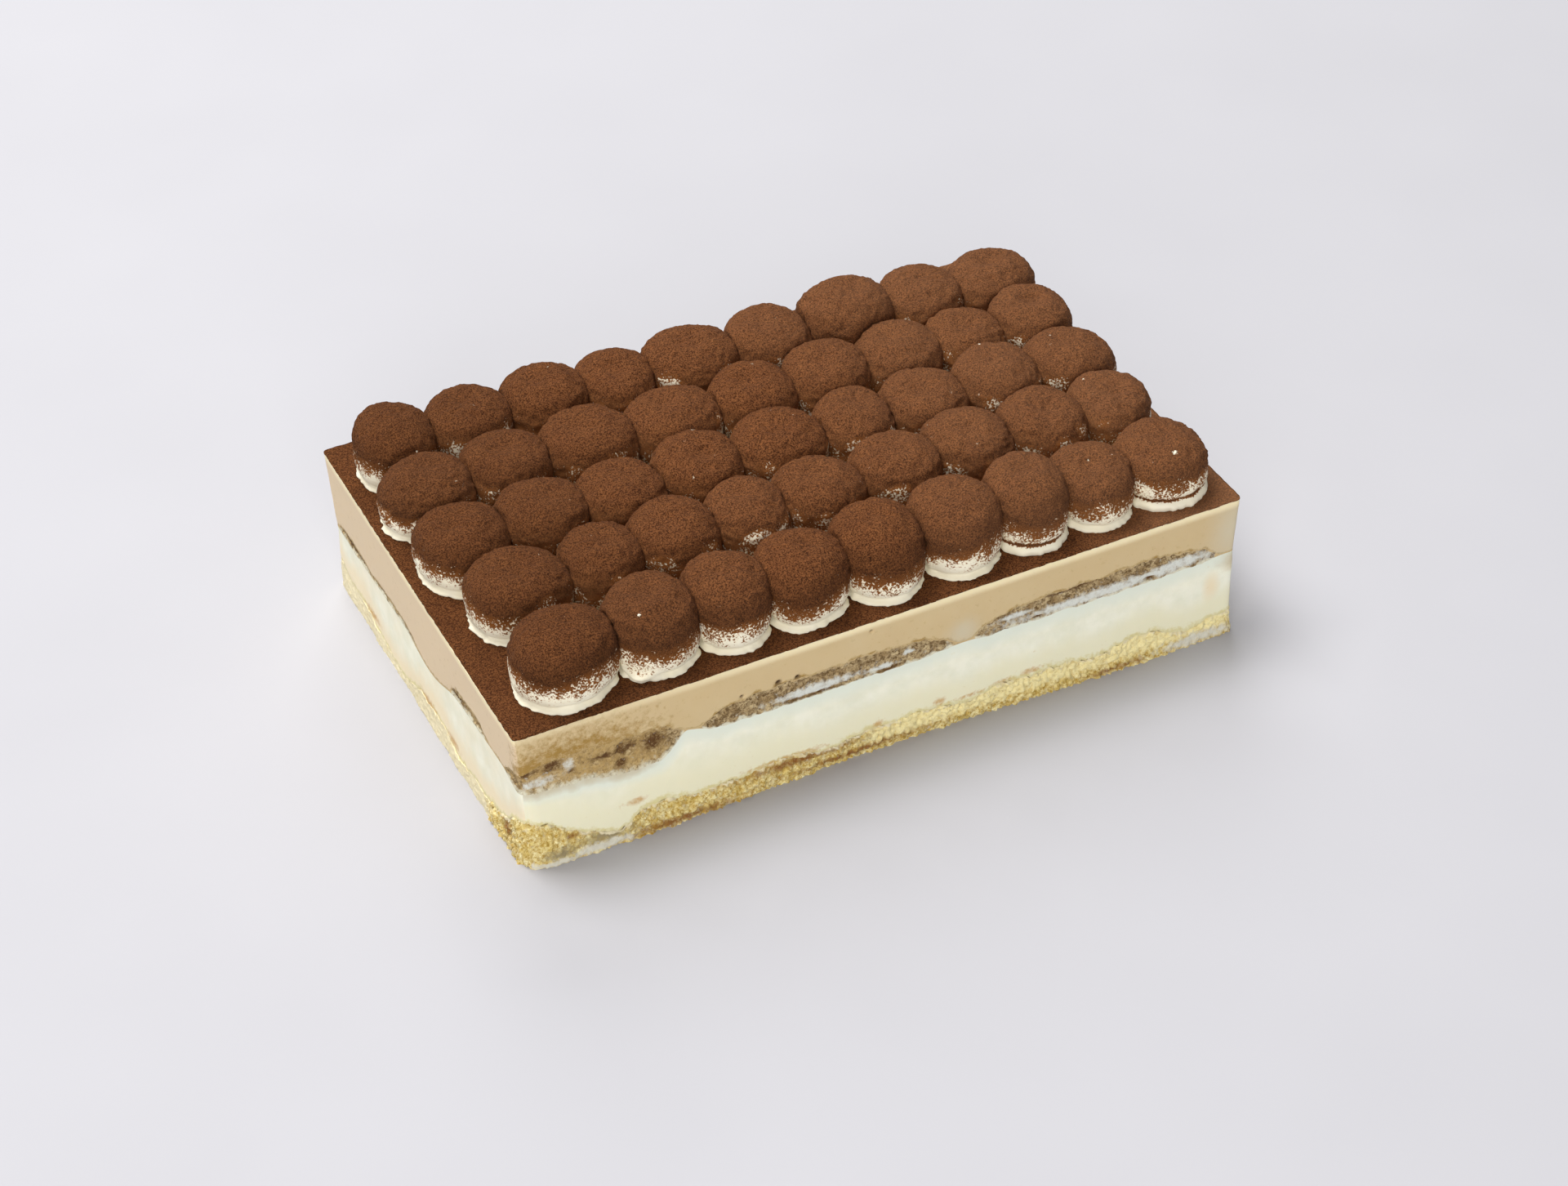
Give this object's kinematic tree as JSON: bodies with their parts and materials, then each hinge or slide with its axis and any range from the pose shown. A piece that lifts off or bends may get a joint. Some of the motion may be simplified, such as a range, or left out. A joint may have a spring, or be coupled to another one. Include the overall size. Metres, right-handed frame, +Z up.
{
  "type": "tiramisu ice cream cake",
  "caption": "Rectangular layered tiramisu ice cream cake: sponge, vanilla and coffee cream layers under rows of piped cream domes dusted with cocoa.",
  "frame": {"origin": "under the middle of the block, on the floor", "axes": "+X along the long side to the right, +Y from the shown front face to the back, +Z up"},
  "size_m": [0.264, 0.172, 0.0854],
  "materials": {
    "base_sponge": "dry, crumbly",
    "vanilla_cream": "smooth, moist",
    "soaked_sponge": "wet crumb",
    "coffee_cream": "smooth, moist",
    "cocoa": "dry powder",
    "dusted_cream": "powder on cream"
  },
  "bodies": {
    "root": {"base_sponge": "base_sponge", "vanilla_cream": "vanilla_cream", "soaked_sponge": "soaked_sponge", "coffee_cream": "coffee_cream", "cocoa_top": "cocoa", "dome_1_1": "dusted_cream", "dome_1_2": "dusted_cream", "dome_1_3": "dusted_cream", "dome_1_4": "dusted_cream", "dome_1_5": "dusted_cream", "dome_1_6": "dusted_cream", "dome_1_7": "dusted_cream", "dome_1_8": "dusted_cream", "dome_1_9": "dusted_cream", "dome_2_1": "dusted_cream", "dome_2_2": "dusted_cream", "dome_2_3": "dusted_cream", "dome_2_4": "dusted_cream", "dome_2_5": "dusted_cream", "dome_2_6": "dusted_cream", "dome_2_7": "dusted_cream", "dome_2_8": "dusted_cream", "dome_2_9": "dusted_cream", "dome_3_1": "dusted_cream", "dome_3_2": "dusted_cream", "dome_3_3": "dusted_cream", "dome_3_4": "dusted_cream", "dome_3_5": "dusted_cream", "dome_3_6": "dusted_cream", "dome_3_7": "dusted_cream", "dome_3_8": "dusted_cream", "dome_3_9": "dusted_cream", "dome_4_1": "dusted_cream", "dome_4_2": "dusted_cream", "dome_4_3": "dusted_cream", "dome_4_4": "dusted_cream", "dome_4_5": "dusted_cream", "dome_4_6": "dusted_cream", "dome_4_7": "dusted_cream", "dome_4_8": "dusted_cream", "dome_4_9": "dusted_cream", "dome_5_1": "dusted_cream", "dome_5_2": "dusted_cream", "dome_5_3": "dusted_cream", "dome_5_4": "dusted_cream", "dome_5_5": "dusted_cream", "dome_5_6": "dusted_cream", "dome_5_7": "dusted_cream", "dome_5_8": "dusted_cream", "dome_5_9": "dusted_cream"}
  },
  "joints": []
}
